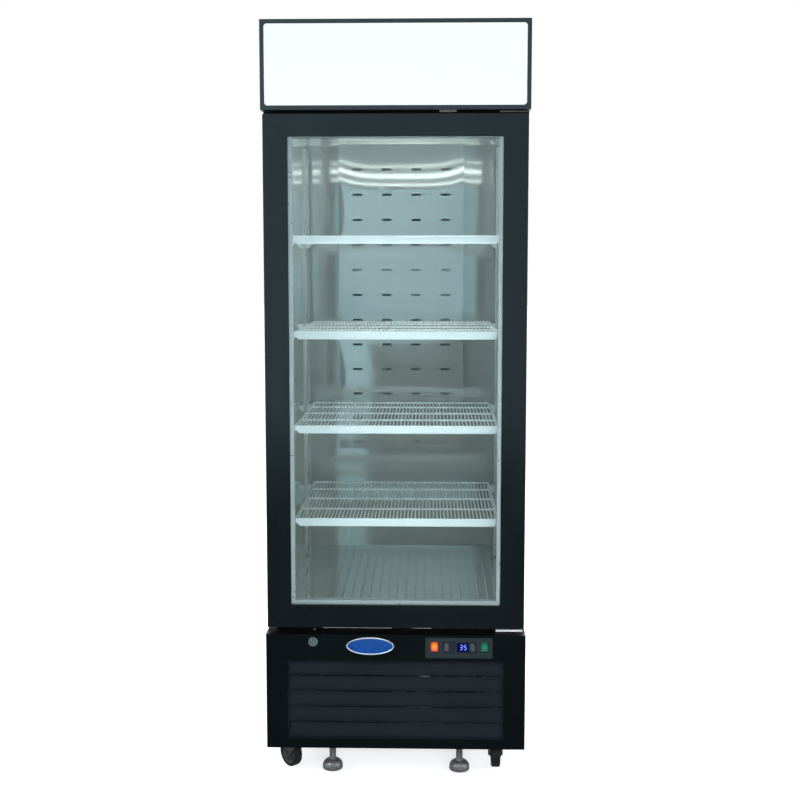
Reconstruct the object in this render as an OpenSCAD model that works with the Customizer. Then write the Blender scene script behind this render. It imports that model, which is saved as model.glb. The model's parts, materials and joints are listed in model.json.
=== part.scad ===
// Upright glass door merchandiser: an insulated cabinet on casters with one hinged glass door,
// four wire shelves, a lit header box and a refrigeration unit in the base.
// Millimetres, +Z up, the door faces -Y, and the origin is on the floor under the middle.

/* [Cabinet] */
// Overall width
width = 686; // [640:1:720]
// Overall depth, front of the header to the rear panel
depth = 800; // [780:1:840]
// Height of the cabinet roof
roof_z = 1792; // [1792:1:1800]
// Overall height, top of the header
top_z = 1992; // [1980:1:2010]
// Underside of the base pan, which is the caster height
pan_z = 92; // [91:1:100]
// Thickness of the side walls
wall = 43; // [40:1:46]
// Thickness of the outer sheet steel
sheet = 1.2; // [1:0.1:2]
// Depth of the door and header ahead of the cabinet
front_d = 60; // [58:1:64]

/* [Inside] */
// Top face of the inner floor
floor_z = 460; // [455:1:470]
// Ceiling of the inner liner
ceiling_z = 1745; // [1740:1:1748]
// Thickness of the inner liner
liner_t = 1.2; // [1:0.1:1.6]
// Depth from the liner's rear wall to the outer back
rear_wall = 60; // [55:1:60]
// Width of the rear air duct
duct_w = 390; // [360:2:400]
// Depth of the rear air duct
duct_d = 60; // [58:1:62]
// Lower edge of the rear air duct
duct_z = 790; // [780:2:798]

/* [Shelves] */
// Height of the lowest shelf's wires
shelf_z = 686; // [670:1:700]
// Height from one shelf to the next
shelf_step = 255.5; // [250:0.5:260]
// Width of a shelf over its frame
shelf_w = 560; // [540:2:564]
// Depth of a shelf
shelf_d = 538; // [500:2:540]
// Diameter of the fore and aft wires
wire_d = 3; // [2.5:0.1:3.5]
// Spacing of the fore and aft wires
wire_step = 10; // [9:0.5:12]

/* [Door] */
// Lower edge of the door
door_z = 422; // [421:1:424]
// Upper edge of the door
door_top = 1757; // [1754:1:1760]
// Width of the door
door_w = 676; // [670:1:680]
// Thickness of the door frame
door_t = 53; // [50:1:54]
// Width of a door stile
stile_w = 63.5; // [60:0.5:70]
// Height of the top rail
rail_top_h = 57; // [50:1:60]
// Height of the bottom rail
rail_bottom_h = 61.5; // [58:0.5:66]
// Radius of the hinge pins
pin_r = 4; // [4:0.1:4.5]

/* [Casters] */
// Diameter of a caster wheel
wheel_d = 75; // [70:1:76]
// Width of a caster wheel
wheel_w = 24; // [20:1:26]
// Swivel offset from the wheel's axle
trail = 28; // [22:1:30]
// Angle at which the left front caster rests
left_turn = 42; // [0:1:90]

/* [Hidden] */
$fn = 48;

half_w = width / 2;
front_y = -depth / 2;
rear_y = depth / 2;
frame_y = front_y + front_d;          // front face of the cabinet, where the gasket lands
deck_z = 412;                         // deck that carries the insulated floor
in_x = half_w - wall;                 // inner face of each side liner
in_rear = rear_y - rear_wall;         // inner face of the rear liner
frame_t = 8;                          // thickness of the front frame
gap = 0.3;                            // running gap between separate pieces

// door, measured from its front face
door_y = front_y + 2;
door_back = door_y + door_t;
door_x = door_w / 2;
glass_x = door_x - stile_w;           // half width of the glass opening
glass_low = door_z + rail_bottom_h;
glass_high = door_top - rail_top_h;
rebate = 12;                          // how far the glass sits inside the frame
pane_t = 4;
pane_front = door_y + 8;
pane_back = pane_front + 28;          // back face of the inner pane
hinge_x = door_x - 16;
hinge_y = door_y + 16;
pin_gap = 0.05;                       // running clearance of the hinge pins
closer_r = 8;
grip_low = 930;
grip_high = 1290;

// base front
base_y = front_y + 3;
base_top = deck_z - 9;                // a dark gap shows under the door
base_back = frame_y;
panel_t = 1.5;
grille_x = 286;
grille_low = 118;
grille_high = 331;
grille_lip = 4;
slats = 5;
slat_step = (grille_high - grille_low) / slats;

// controls
bezel_low_x = 79;
bezel_high_x = 256;
bezel_z = 369;
bezel_h = 55;
bezel_rim = 5;
switch_z = 371;
light_x = 103;
power_x = 235;
switch_w = 21;
switch_h = 29;
tilt = 8;                             // half of a rocker's travel
rocker_r = 1.2;                       // radius of a rocker's pivot pins
rocker_y = base_y + 8;
stat_x = 169;
stat_w = 90;
stat_h = 33;
key_left_x = 135;
key_right_x = 203;
badge_x = -67;
badge_z = 372;
badge_w = 126;
badge_h = 47;

// lock
lock_x = -218;
lock_z = 383;
lock_r = 8;
bolt_y = door_back - 13;
bolt_r = 4;
bolt_rest = base_top + 4;             // top of the bolt when unlocked
bolt_len = 46;
keeper_gap = 3;
keeper_depth = 14;

// header box
header_t = 1.6;
header_lip = 11;
header_low = door_top + 10;
header_r = 8;
header_back = frame_y + 50;

// light bars
bar_x = 285;
bar_d = 16;
bar_h = 39;
header_bar_x = 300;
header_bar_z = [1840, 1930];

// air duct slots
slot_x = [-138, -46, 46, 138];
slot_rows = 12;
slot_step = 78;
slot_top = 1667;
slot_w = 30;
slot_h = 6.6;

// shelves
shelf_front = in_rear - duct_d - 6 - shelf_d;
side_d = 6;                           // diameter of a shelf's side rods
rod_d = 5.4;                          // diameter of its cross rods
rail_h = 22;
rail_taper = 20;
pilaster_y = [-225, 235];
pilaster_t = 6;

// refrigeration
cond_x = -40;
cond_z = pan_z + 3 + 112;
evap_fan_z = 1500;

// casters
caster_x = 272;
caster_front_y = -318;
caster_rear_y = 318;
axle_r = 4;
plate_z = pan_z - 6;
fork_top = plate_z - 6;
king_r = 6;
foot_x = 171;
foot_y = -354;
foot_r = 9;
foot_lift = 19;                        // the casters carry the load until a foot is let down
foot_len = 94;

function shelf_top(i) = shelf_z + i * shelf_step;

module box(x0, y0, z0, x1, y1, z1) {
  translate([x0, y0, z0]) cube([x1 - x0, y1 - y0, z1 - z0]);
}

module mirrored_x() {
  children();
  mirror([1, 0, 0]) children();
}

// Extrudes a profile drawn as (y, z) along X, centred on the middle plane
module along_x(length) {
  rotate([90, 0, 90]) linear_extrude(height = length, center = true) children();
}

// Extrudes a front view drawn as (x, z) backwards from y0 to y1
module front_view(y0, y1) {
  translate([0, y1, 0]) rotate([90, 0, 0]) linear_extrude(height = y1 - y0) children();
}

module rounded_rect(x0, z0, x1, z1, r) {
  translate([x0 + r, z0]) square([x1 - x0 - 2 * r, z1 - z0]);
  translate([x0, z0 + r]) square([x1 - x0, z1 - z0 - 2 * r]);
  for (x = [x0 + r, x1 - r], z = [z0 + r, z1 - r]) translate([x, z]) circle(r = r);
}

// ---- cabinet shell ----

module side_panels() {
  color("#1c1d20") mirrored_x()
    box(half_w - sheet, frame_y, pan_z, half_w, rear_y, roof_z - sheet);
}

module roof_panel() {
  color("#1c1d20") box(-half_w, frame_y, roof_z - sheet, half_w, rear_y, roof_z);
}

module rear_panel() {
  color("#1c1d20")
    box(-half_w + sheet, rear_y - sheet, deck_z, half_w - sheet, rear_y, roof_z - sheet);
}

module foam_insulation() {
  back = frame_y + frame_t;
  color("#e6dcae") difference() {
    box(-half_w + sheet, back, deck_z, half_w - sheet, rear_y - sheet, roof_z - sheet);
    box(-in_x - liner_t, back - 1, floor_z - liner_t,
        in_x + liner_t, in_rear + liner_t, ceiling_z + liner_t);
  }
}

module liner_panels() {
  color("#c4c8cb") {
    mirrored_x() box(in_x, frame_y + frame_t, floor_z + gap,
                     in_x + liner_t, in_rear - gap, ceiling_z - gap);
    box(-in_x - liner_t, in_rear, floor_z + gap, in_x + liner_t, in_rear + liner_t,
        ceiling_z - gap);
    box(-in_x - liner_t, frame_y + frame_t, ceiling_z,
        in_x + liner_t, in_rear + liner_t, ceiling_z + liner_t);
    box(-in_x - liner_t, frame_y + frame_t, floor_z - liner_t,
        in_x + liner_t, in_rear + liner_t, floor_z);
  }
}

module front_frame() {
  back = frame_y + frame_t;
  edge = half_w - sheet;
  color("#202124") {
    mirrored_x() box(in_x, frame_y, deck_z, edge, back, roof_z - sheet);
    box(-in_x + gap, frame_y, ceiling_z, in_x - gap, back, roof_z - sheet);
    box(-in_x + gap, frame_y, deck_z, in_x - gap, back, floor_z);
  }
}

// ---- base ----

module machine_frame() {
  edge = half_w - sheet;
  post = 22;
  color("#4a4d50") difference() {
    union() {
      box(-edge, frame_y, pan_z, edge, rear_y - 4, pan_z + 3);
      box(-edge, frame_y, deck_z - 2, edge, rear_y - 4, deck_z);
      for (y = [frame_y, rear_y - 4 - post]) mirrored_x()
        box(edge - post, y, pan_z + 3, edge, y + post, deck_z - 2);
      // tabs that carry the levelling feet
      mirrored_x() box(foot_x - 18, foot_y - 20, pan_z + panel_t + 0.1,
                       foot_x + 18, frame_y + 5, pan_z + 6);
    }
    mirrored_x() {
      translate([caster_x, caster_front_y, pan_z - 1]) cylinder(r = king_r + 3, h = 6);
      translate([foot_x, foot_y, pan_z - 1]) cylinder(r = foot_r + gap, h = 9);
    }
  }
}

module rear_grille() {
  color("#2b2d30") front_view(rear_y - 3.2, rear_y - 2) difference() {
    translate([-half_w + 6, pan_z + 4]) square([width - 12, deck_z - pan_z - 8]);
    for (x = [-1, 1], i = [0:9])
      translate([x * 150, 140 + i * 24]) rounded_rect(-115, -4, 115, 4, 3.9);
    translate([-265, 126]) circle(r = 11.05);
  }
}

module cable_inlet() {
  y = rear_y - 2;
  color("#151515") translate([-265, y, 126]) rotate([90, 0, 0]) difference() {
    union() {
      translate([0, 0, -1.8]) cylinder(r = 14, h = 1.8);
      cylinder(r = 11, h = 12);
      translate([0, 0, 1.4]) cylinder(r = 13, h = 6);
    }
    translate([0, 0, -3]) cylinder(r = 4.5, h = 20);
  }
}

module base_front_panel() {
  color("#17181a") difference() {
    box(-half_w, base_y, pan_z, half_w, base_back, base_top);
    box(-half_w + panel_t, base_y + panel_t, pan_z + panel_t,
        half_w - panel_t, base_back + 1, base_top - panel_t);
    front_view(base_y - 1, base_y + 5) {
      rounded_rect(-grille_x, grille_low, grille_x, grille_high, grille_lip);
      rounded_rect(bezel_low_x + bezel_rim, bezel_z - bezel_h / 2 + bezel_rim,
                   bezel_high_x - bezel_rim, bezel_z + bezel_h / 2 - bezel_rim, 2);
    }
    translate([lock_x, base_y + 5, lock_z]) rotate([90, 0, 0]) cylinder(r = 11.2, h = 8);
    translate([lock_x, bolt_y, base_top - 5]) cylinder(r = bolt_r + 0.5, h = 8);
    mirrored_x() translate([foot_x, foot_y, pan_z - 1]) cylinder(r = foot_r + 1, h = 5);
    box(262, frame_y - 6, base_top - 4, 340, base_back + 1, base_top + 1);
  }
}

// Frame with sloping slats that overhang one another, low edge forward
module louver_grille() {
  y = base_y + 0.6;
  color("#1f262d") {
    front_view(y, y + 12) difference() {
      rounded_rect(-grille_x + gap, grille_low + gap, grille_x - gap, grille_high - gap,
                   grille_lip - gap);
      translate([-grille_x + grille_lip, grille_low + grille_lip])
        square([2 * (grille_x - grille_lip), grille_high - grille_low - 2 * grille_lip]);
    }
    for (i = [0:slats - 1]) translate([0, 0, grille_low + 3 + i * slat_step])
      along_x(2 * (grille_x - grille_lip) + 1)
        polygon([[y, 1], [y + 1.6, 0], [y + 11.4, slat_step - 7], [y + 9.8, slat_step - 6]]);
  }
}

// ---- header ----

module header_profile(inset) {
  low = header_low + inset;
  polygon([
    [front_y + inset, low],
    [frame_y - 4 - inset, low],
    [frame_y - 4 - inset, roof_z + inset],
    [header_back - inset, roof_z + inset],
    [header_back - inset, top_z - inset],
    [front_y + inset, top_z - inset]
  ]);
}

module header_housing() {
  color("#141416") difference() {
    along_x(width) header_profile(0);
    along_x(width - 2 * header_t) header_profile(header_t);
    front_view(front_y - 1, front_y + 5)
      rounded_rect(-half_w + header_lip, header_low + header_lip,
                   half_w - header_lip, top_z - header_lip, header_r);
  }
}

module header_diffuser() {
  y = front_y + header_t;
  color("#f4f6f8") {
    box(-half_w + header_t + gap, y, header_low + header_t + gap,
        half_w - header_t - gap, y + 3, top_z - header_t - gap);
    front_view(front_y + 0.4, y + 1)
      rounded_rect(-half_w + header_lip + gap, header_low + header_lip + gap,
                   half_w - header_lip - gap, top_z - header_lip - gap, header_r - gap);
  }
}

// A light bar above the door opening, inside, and two bars across the header
module led_strips() {
  color("#fbfdff") {
    box(-bar_x, frame_y + frame_t + 1, ceiling_z - bar_h,
        bar_x, frame_y + frame_t + 1 + bar_d, ceiling_z);
    for (z = header_bar_z)
      box(-header_bar_x, header_back - 14, z - 9, header_bar_x, header_back - header_t, z + 9);
  }
}

// ---- air duct and evaporator ----

module air_duct_panel() {
  y = in_rear - duct_d;
  color("#aeb4b9") {
    front_view(y, y + liner_t) difference() {
      translate([-duct_w / 2, duct_z]) square([duct_w, ceiling_z - duct_z]);
      for (x = slot_x, i = [0:slot_rows - 1]) translate([x, slot_top - i * slot_step])
        rounded_rect(-slot_w / 2, -slot_h / 2, slot_w / 2, slot_h / 2, slot_h / 2 - 0.1);
    }
    mirrored_x()
      box(duct_w / 2 - liner_t, y + liner_t, duct_z, duct_w / 2, in_rear, ceiling_z);
  }
}

// Fin pack between two end plates with return bends on one side
module coil(w, d, h, tubes) {
  color("#b9bdc0") {
    translate([-w / 2, -d / 2, -h / 2]) cube([w, d, h]);
    mirrored_x() translate([w / 2, -d / 2 - 2, -h / 2 - 2]) cube([2, d + 4, h + 4]);
  }
  step = h / tubes;
  color("#b5703c") for (i = [0:tubes - 1]) translate([w / 2 + 2, 0, -h / 2 + (i + 0.5) * step])
    rotate([90, 0, 0]) rotate_extrude(angle = 90) translate([step / 4, 0]) circle(r = 3);
}

module evaporator_coil() {
  color("#b9bdc0") translate([0, in_rear - 22, 1130]) coil(320, 40, 300, 10);
}

module condenser_coil() {
  color("#6c7175") translate([cond_x, frame_y + 45, cond_z]) coil(330, 60, 220, 8);
}

module fan_motor(r, len) {
  cylinder(r = r, h = len);
  translate([0, 0, -6]) cylinder(r = 3, h = 6);
  for (a = [0, 90]) rotate([0, 0, a]) translate([-r - 14, -6, len - 3]) cube([2 * r + 28, 12, 3]);
}

module fan_blade(r, hub_r, len, blades) {
  difference() {
    union() {
      cylinder(r = hub_r, h = len);
      for (i = [0:blades - 1]) rotate([0, 0, i * 360 / blades])
        translate([hub_r - 4, 0, len / 2]) rotate([28, 0, 0])
          translate([0, -hub_r * 0.8, -0.9]) cube([r - hub_r + 4, hub_r * 1.6, 1.8]);
    }
    translate([0, 0, -1]) cylinder(r = 3.05, h = len + 2);
  }
}

module fan_motors() {
  color("#2a2c2f") {
    translate([0, in_rear - 24, evap_fan_z]) rotate([-90, 0, 0]) fan_motor(26, 24);
    translate([cond_x, frame_y + 165, cond_z]) rotate([-90, 0, 0]) fan_motor(34, 50);
    box(cond_x - 16, frame_y + 190, pan_z + 3, cond_x + 16, frame_y + 194, cond_z - 30);
  }
}

module evaporator_fan_blade() {
  color("#3d4146") translate([0, in_rear - 40, evap_fan_z]) rotate([-90, 0, 0])
    fan_blade(72, 18, 12, 5);
}

module condenser_fan_blade() {
  color("#3d4146") translate([cond_x, frame_y + 135, cond_z]) rotate([-90, 0, 0])
    fan_blade(96, 26, 26, 5);
}

module compressor() {
  r = 78;
  color("#1d1e20") translate([175, 190, pan_z + 3]) {
    for (x = [-70, 70], y = [-60, 60]) translate([x, y, 0]) cylinder(r = 11, h = 16);
    translate([-84, -72, 16]) cube([168, 144, 3]);
    translate([0, 0, 19]) rotate_extrude() polygon([
      [0, 0], [r - 14, 0], [r, 14], [r, 82], [r + 5, 86], [r + 5, 92], [r, 96], [r, 130],
      [r - 8, 154], [r - 30, 168], [0, 174]
    ]);
    translate([-r - 30, -26, 60]) cube([36, 52, 64]);
  }
}

module drain_pan() {
  color("#33373a") translate([-215, 215, pan_z + 3]) difference() {
    translate([-95, -110, 0]) cube([190, 220, 45]);
    translate([-92, -107, 2.5]) cube([184, 214, 50]);
  }
}

// ---- shelves ----

module pilaster() {
  difference() {
    cube([pilaster_t, 26, ceiling_z - floor_z - 30]);
    for (i = [0:23]) translate([-1, 9, 60 + i * 50]) cube([4, 8, 14]);
  }
}

module shelf_pilasters() {
  color("#b9bec2") mirrored_x() for (y = pilaster_y)
    translate([in_x - pilaster_t, y, floor_z + 15]) pilaster();
}

module shelf_clips() {
  color("#e8eaec") mirrored_x() for (y = pilaster_y, i = [0:3])
    translate([in_x - pilaster_t, y + 13, shelf_top(i) - wire_d - 5]) rotate([90, 0, 0])
      linear_extrude(height = 16, center = true)
        polygon([[0, 0], [-22, 0], [-22, -3], [-6, -22], [0, -22]]);
}

// Round bar along Y or X as an eight-sided bar
module bar_y(x, z, d, y0, y1) {
  translate([x, y0, z]) rotate([-90, 0, 0]) rotate(22.5) cylinder(d = d, h = y1 - y0, $fn = 8);
}

module bar_x(y, z, d, x1) {
  translate([-x1, y, z]) rotate([0, 90, 0]) rotate(22.5) cylinder(d = d, h = 2 * x1, $fn = 8);
}

module shelf(i) {
  z = shelf_top(i);
  y0 = shelf_front;
  y1 = y0 + shelf_d;
  wires = floor((shelf_w - 14) / 2 / wire_step);
  rod_z = z - wire_d - 2.2;
  color("#f2f3f4") {
    for (n = [-wires:wires]) bar_y(n * wire_step, z - wire_d / 2, wire_d, y0 + 1, y1 - 1);
    for (k = [0:4]) bar_x(y0 + 3 + k * (shelf_d - 6) / 4, rod_z, rod_d, (shelf_w - side_d) / 2);
    mirrored_x() bar_y((shelf_w - side_d) / 2, rod_z, side_d, y0, y1);
  }
}

// Price rail across the front of each shelf, wider along its top edge
module shelf_front_rails() {
  top_x = shelf_w / 2 + 4;
  color("#f7f7f7") for (i = [0:3]) front_view(shelf_front - 3, shelf_front - 0.5)
    translate([0, shelf_top(i)])
      polygon([[-top_x, 0], [-top_x, -5], [-top_x + rail_taper, -rail_h],
               [top_x - rail_taper, -rail_h], [top_x, -5], [top_x, 0]]);
}

// ---- door ----

module glass_pocket() {
  box(-glass_x - rebate, pane_front - gap, glass_low - rebate,
      glass_x + rebate, pane_back + gap, glass_high + rebate);
}

// One mitred stile, drawn for the hinge side
module stile() {
  front_view(door_y, door_back) polygon([
    [door_x, door_z], [door_x, door_top], [glass_x, glass_high], [glass_x, glass_low]
  ]);
}

module door_stiles() {
  color("#0e0f11") {
    difference() {
      stile();
      glass_pocket();
      translate([hinge_x, hinge_y, door_top - 32]) cylinder(r = pin_r + pin_gap, h = 40);
      translate([hinge_x, hinge_y, door_z - 1]) cylinder(r = closer_r + pin_gap, h = 260);
    }
    difference() {
      mirror([1, 0, 0]) stile();
      glass_pocket();
      // finger grip let into the free edge behind a front lip
      box(-door_x - 1, door_y + 12, grip_low, -door_x + 17, door_back - 9, grip_high);
    }
  }
}

module door_rails() {
  color("#0e0f11") difference() {
    front_view(door_y, door_back) {
      polygon([[-door_x, door_top], [door_x, door_top],
               [glass_x, glass_high], [-glass_x, glass_high]]);
      polygon([[-door_x, door_z], [door_x, door_z], [glass_x, glass_low], [-glass_x, glass_low]]);
    }
    glass_pocket();
    translate([hinge_x, hinge_y, door_top - 32]) cylinder(r = pin_r + 1, h = 40);
    translate([hinge_x, hinge_y, door_z - 1]) cylinder(r = closer_r + 1, h = 260);
    // rebate along the bottom rail's back edge that the lock bolt rises into
    box(-door_x - 1, bolt_y - bolt_r - keeper_gap, door_z - 1,
        door_x + 1, door_back + 1, door_z + keeper_depth);
  }
}

module pane(y) {
  box(-glass_x - rebate + 1, y, glass_low - rebate + 1,
      glass_x + rebate - 1, y + pane_t, glass_high + rebate - 1);
}

module glass_outer() {
  color("#a8c4d0", 0.3) pane(pane_front);
}

module glass_inner() {
  color("#a8c4d0", 0.3) pane(pane_back - pane_t);
}

// Rectangular ring with bars w_side wide, w_low and w_top high
module ring(y0, y1, x_out, z_low, z_high, w_side, w_low, w_top) {
  front_view(y0, y1) difference() {
    translate([-x_out, z_low]) square([2 * x_out, z_high - z_low]);
    translate([-x_out + w_side, z_low + w_low])
      square([2 * (x_out - w_side), z_high - z_low - w_low - w_top]);
  }
}

module glass_spacer() {
  color("#c9cdd0") ring(pane_front + pane_t, pane_back - pane_t, glass_x + rebate - 1,
                        glass_low - rebate + 1, glass_high + rebate - 1, 20, 20, 11);
}

module door_gasket() {
  color("#1b1b1c") ring(door_back, frame_y - 0.4, 320, door_z + 18, door_top - 3, 12, 12, 12);
}

// Plate ahead of the cabinet with a leg behind it, and a pin on the hinge axis
module hinge_plate(z0, z1) {
  box(264, door_y + 1, z0, 334, frame_y - 3.4, z1);
}

module hinge_bracket_top() {
  z = door_top + 3;
  color("#b8bcc0") {
    hinge_plate(z, z + 4);
    box(264, frame_y - 3.6, z, 334, frame_y - 0.2, z + 26);
    translate([hinge_x, hinge_y, door_top - 28]) cylinder(r = pin_r, h = 32);
  }
}

module hinge_bracket_bottom() {
  z = deck_z + 2;
  color("#b8bcc0") {
    hinge_plate(z, z + 5);
    box(264, frame_y - 5, z - 60, 334, frame_y, z + 5);
    translate([hinge_x, hinge_y, z]) cylinder(r = pin_r, h = 34);
  }
}

// Cartridge with a torsion rod that closes the door
module torsion_closer() {
  color("#8f9498") translate([hinge_x, hinge_y, 0]) difference() {
    translate([0, 0, door_z]) cylinder(r = closer_r, h = 250);
    translate([0, 0, door_z - 1]) cylinder(r = pin_r + pin_gap, h = 30);
  }
}

// Strap over the door's top edge that works the light switch
module door_switch_strap() {
  z = door_top + 10;
  color("#9aa0a5") {
    box(112, front_y + 6, z - 6, 155, front_y + 8, z);
    box(112, front_y + 6, z - 2, 155, front_y + 40, z);
    for (x = [121, 146]) translate([x, front_y + 6, z - 3.2]) rotate([90, 0, 0])
      cylinder(r = 2.2, h = 1.6);
  }
}

// ---- lock ----

module lock_body() {
  color("#c8ccd0") difference() {
    union() {
      translate([lock_x, base_y, lock_z]) rotate([90, 0, 0]) cylinder(r = 12.5, h = 2);
      translate([lock_x, base_y + 28, lock_z]) rotate([90, 0, 0]) cylinder(r = 11, h = 28);
      box(lock_x - 10, base_y + 27, lock_z + 2, lock_x + 10, bolt_y + 8, base_top - panel_t);
    }
    translate([lock_x, base_y + 25, lock_z]) rotate([90, 0, 0])
      cylinder(r = lock_r + pin_gap, h = 40);
    translate([lock_x, bolt_y, lock_z - 4]) cylinder(r = bolt_r + gap, h = 40);
  }
}

module lock_plug() {
  color("#d8dbde") difference() {
    translate([lock_x, base_y + 24, lock_z]) rotate([90, 0, 0]) cylinder(r = lock_r, h = 26.8);
    box(lock_x - 0.7, front_y - 1, lock_z - 4.5, lock_x + 0.7, front_y + 9, lock_z + 4.5);
  }
}

module lock_bolt() {
  color("#c8ccd0") translate([lock_x, bolt_y, bolt_rest - bolt_len])
    cylinder(r = bolt_r, h = bolt_len);
}

// ---- controls ----

module control_bezel() {
  low = bezel_z - bezel_h / 2;
  high = bezel_z + bezel_h / 2;
  color("#3a3e42") difference() {
    union() {
      front_view(base_y - 2.2, base_y) rounded_rect(bezel_low_x, low, bezel_high_x, high, 3);
      front_view(base_y, base_y + 10)
        rounded_rect(bezel_low_x + bezel_rim + gap, low + bezel_rim + gap,
                     bezel_high_x - bezel_rim - gap, high - bezel_rim - gap, 2 - gap);
    }
    for (x = [light_x, power_x])
      box(x - switch_w / 2, base_y - 4, switch_z - switch_h / 2,
          x + switch_w / 2, base_y + 12, switch_z + switch_h / 2);
    for (x = [light_x, power_x]) rocker_pins(x, rocker_r + pin_gap, switch_w + 4);
    box(stat_x - stat_w / 2, base_y - 4, switch_z - stat_h / 2,
        stat_x + stat_w / 2, base_y + 12, switch_z + stat_h / 2);
  }
}

module rocker_pins(x, r, len) {
  translate([x, rocker_y, switch_z]) rotate([0, 90, 0]) cylinder(r = r, h = len, center = true);
}

// Rocker resting with its top edge pressed in, on a pivot pin that the bezel holds
module rocker(x) {
  h = switch_h - 3;
  rocker_pins(x, rocker_r, switch_w + 3);
  translate([x, rocker_y, switch_z]) rotate([-tilt, 0, 0]) along_x(switch_w - 1.6)
    polygon([[-9.2, -h / 2], [-7.4, 0], [-9.2, h / 2], [0, h / 2 - 5], [0, -h / 2 + 5]]);
}

module light_switch() {
  color("#ff7a1a") rocker(light_x);
}

module power_switch() {
  color("#1fae54") rocker(power_x);
}

module key_hole(x) {
  box(x - 6, base_y - 4, switch_z - 11, x + 6, base_y + 3, switch_z + 11);
}

module thermostat() {
  w = stat_w - 0.6;
  h = stat_h - 0.6;
  color("#22262b") difference() {
    union() {
      box(stat_x - w / 2, base_y - 1.4, switch_z - h / 2, stat_x + w / 2, base_y + 30,
          switch_z + h / 2);
      box(161, base_y - 2, switch_z - 14, 195, base_y, switch_z + 14);
    }
    key_hole(key_left_x);
    key_hole(key_right_x);
  }
}

module key(x) {
  color("#8a9096") front_view(base_y - 2.4, base_y + 1.6)
    rounded_rect(x - 5.6, switch_z - 10.6, x + 5.6, switch_z + 10.6, 2);
}

module thermostat_key_left() {
  key(key_left_x);
}

module thermostat_key_right() {
  key(key_right_x);
}

// Blank oval plate
module badge_blank() {
  steps = 72;
  color("#24407c") translate([badge_x, base_y, badge_z]) rotate([90, 0, 0])
    linear_extrude(height = 2.2) polygon([
      for (i = [0:steps - 1]) [badge_w / 2 * cos(i * 360 / steps), badge_h / 2 * sin(i * 360 / steps)]
    ]);
}

// ---- casters and feet ----

module caster_plate() {
  difference() {
    translate([-45, -36, plate_z]) cube([90, 72, pan_z - plate_z]);
    translate([0, 0, plate_z - 1]) cylinder(r = king_r + pin_gap, h = 20);
  }
}

module caster_plates() {
  color("#8d9297") mirrored_x() translate([caster_x, caster_front_y, 0]) caster_plate();
}

// Side plates of a fork, its crown and the axle, with the wheel behind the swivel
module fork_arms(back) {
  inner = wheel_w / 2 + 1.5;
  axle_z = wheel_d / 2;
  for (s = [-1, 1]) translate([s * (inner + 1.25), 0, 0]) rotate([90, 0, 90])
    linear_extrude(height = 2.5, center = true) polygon([
      [back - 9, axle_z - 8], [back + 9, axle_z - 8], [24, fork_top], [-24, fork_top]
    ]);
  translate([-inner - 2.5, -24, fork_top - 3]) cube([2 * inner + 5, 48, 3]);
  translate([-inner - 6, back, axle_z]) rotate([0, 90, 0]) cylinder(r = axle_r, h = 2 * inner + 12);
  for (s = [-1, 1]) translate([s * (inner + 4.5), back, axle_z]) rotate([0, 90, 0])
    cylinder(r = 7, h = 4, center = true);
}

module caster_fork() {
  fork_arms(trail);
  translate([0, 0, fork_top]) cylinder(r = 22, h = plate_z - fork_top - gap);
  translate([0, 0, fork_top]) cylinder(r = king_r, h = 15);
}

module wheel() {
  w = wheel_w / 2;
  r = wheel_d / 2;
  rotate([0, 90, 0]) rotate_extrude() polygon([
    [axle_r + pin_gap, -w], [12, -w], [13, -w + 5], [r - 10, -w + 5], [r - 8, -w],
    [r - 3, -w], [r, -w + 4], [r, w - 4], [r - 3, w], [r - 8, w], [r - 10, w - 5],
    [13, w - 5], [12, w], [axle_r + pin_gap, w]
  ]);
}

// Places a front caster's pieces: side is -1 for left, turned by angle about its swivel
module at_front(side, angle) {
  translate([side * caster_x, caster_front_y, 0]) rotate([0, 0, angle]) children();
}

module caster_fork_left() {
  color("#a4a9ad") at_front(-1, left_turn) caster_fork();
}

module caster_fork_right() {
  color("#a4a9ad") at_front(1, 0) caster_fork();
}

module rear_caster_brackets() {
  color("#a4a9ad") mirrored_x() translate([caster_x, caster_rear_y, 0]) {
    fork_arms(0);
    translate([-10, -20, fork_top - 1]) cube([20, 40, plate_z - fork_top + 2]);
    translate([-45, -36, plate_z]) cube([90, 72, pan_z - plate_z]);
  }
}

module wheel_front_left() {
  color("#2b2b2b") at_front(-1, left_turn) translate([0, trail, wheel_d / 2]) wheel();
}

module wheel_front_right() {
  color("#2b2b2b") at_front(1, 0) translate([0, trail, wheel_d / 2]) wheel();
}

module wheel_rear_left() {
  color("#2b2b2b") translate([-caster_x, caster_rear_y, wheel_d / 2]) wheel();
}

module wheel_rear_right() {
  color("#2b2b2b") translate([caster_x, caster_rear_y, wheel_d / 2]) wheel();
}

// Domed foot on a threaded stem, hanging clear of the floor
module levelling_foot(side) {
  color("#74787c") translate([side * foot_x, foot_y, foot_lift]) {
    rotate_extrude() polygon([
      [0, 0], [25, 0], [27, 2], [27, 9], [25, 15], [20, 21], [14, 25], [foot_r, 27],
      [foot_r, foot_len], [0, foot_len]
    ]);
  }
}

module levelling_foot_left() {
  levelling_foot(-1);
}

module levelling_foot_right() {
  levelling_foot(1);
}

// ---- fasteners ----

module screw(r, h) {
  cylinder(r = r, h = h);
  translate([0, 0, -5]) cylinder(r = r * 0.5, h = 5);
}

module panel_screws() {
  color("#c3c7ca") {
    for (x = [-333, 333], z = [pan_z + 6, base_top - 8]) translate([x, base_y, z]) rotate([90, 0, 0])
      screw(3, 1.4);
    for (x = [-325, 0, 325], z = [110, 402]) translate([x, rear_y - 2, z]) rotate([-90, 0, 0])
      screw(3.5, 1.8);
    for (x = [276, 300]) translate([x, frame_y - 3.6, door_top + 20]) rotate([90, 0, 0])
      cylinder(r = 3, h = 0.3);
  }
}

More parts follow.
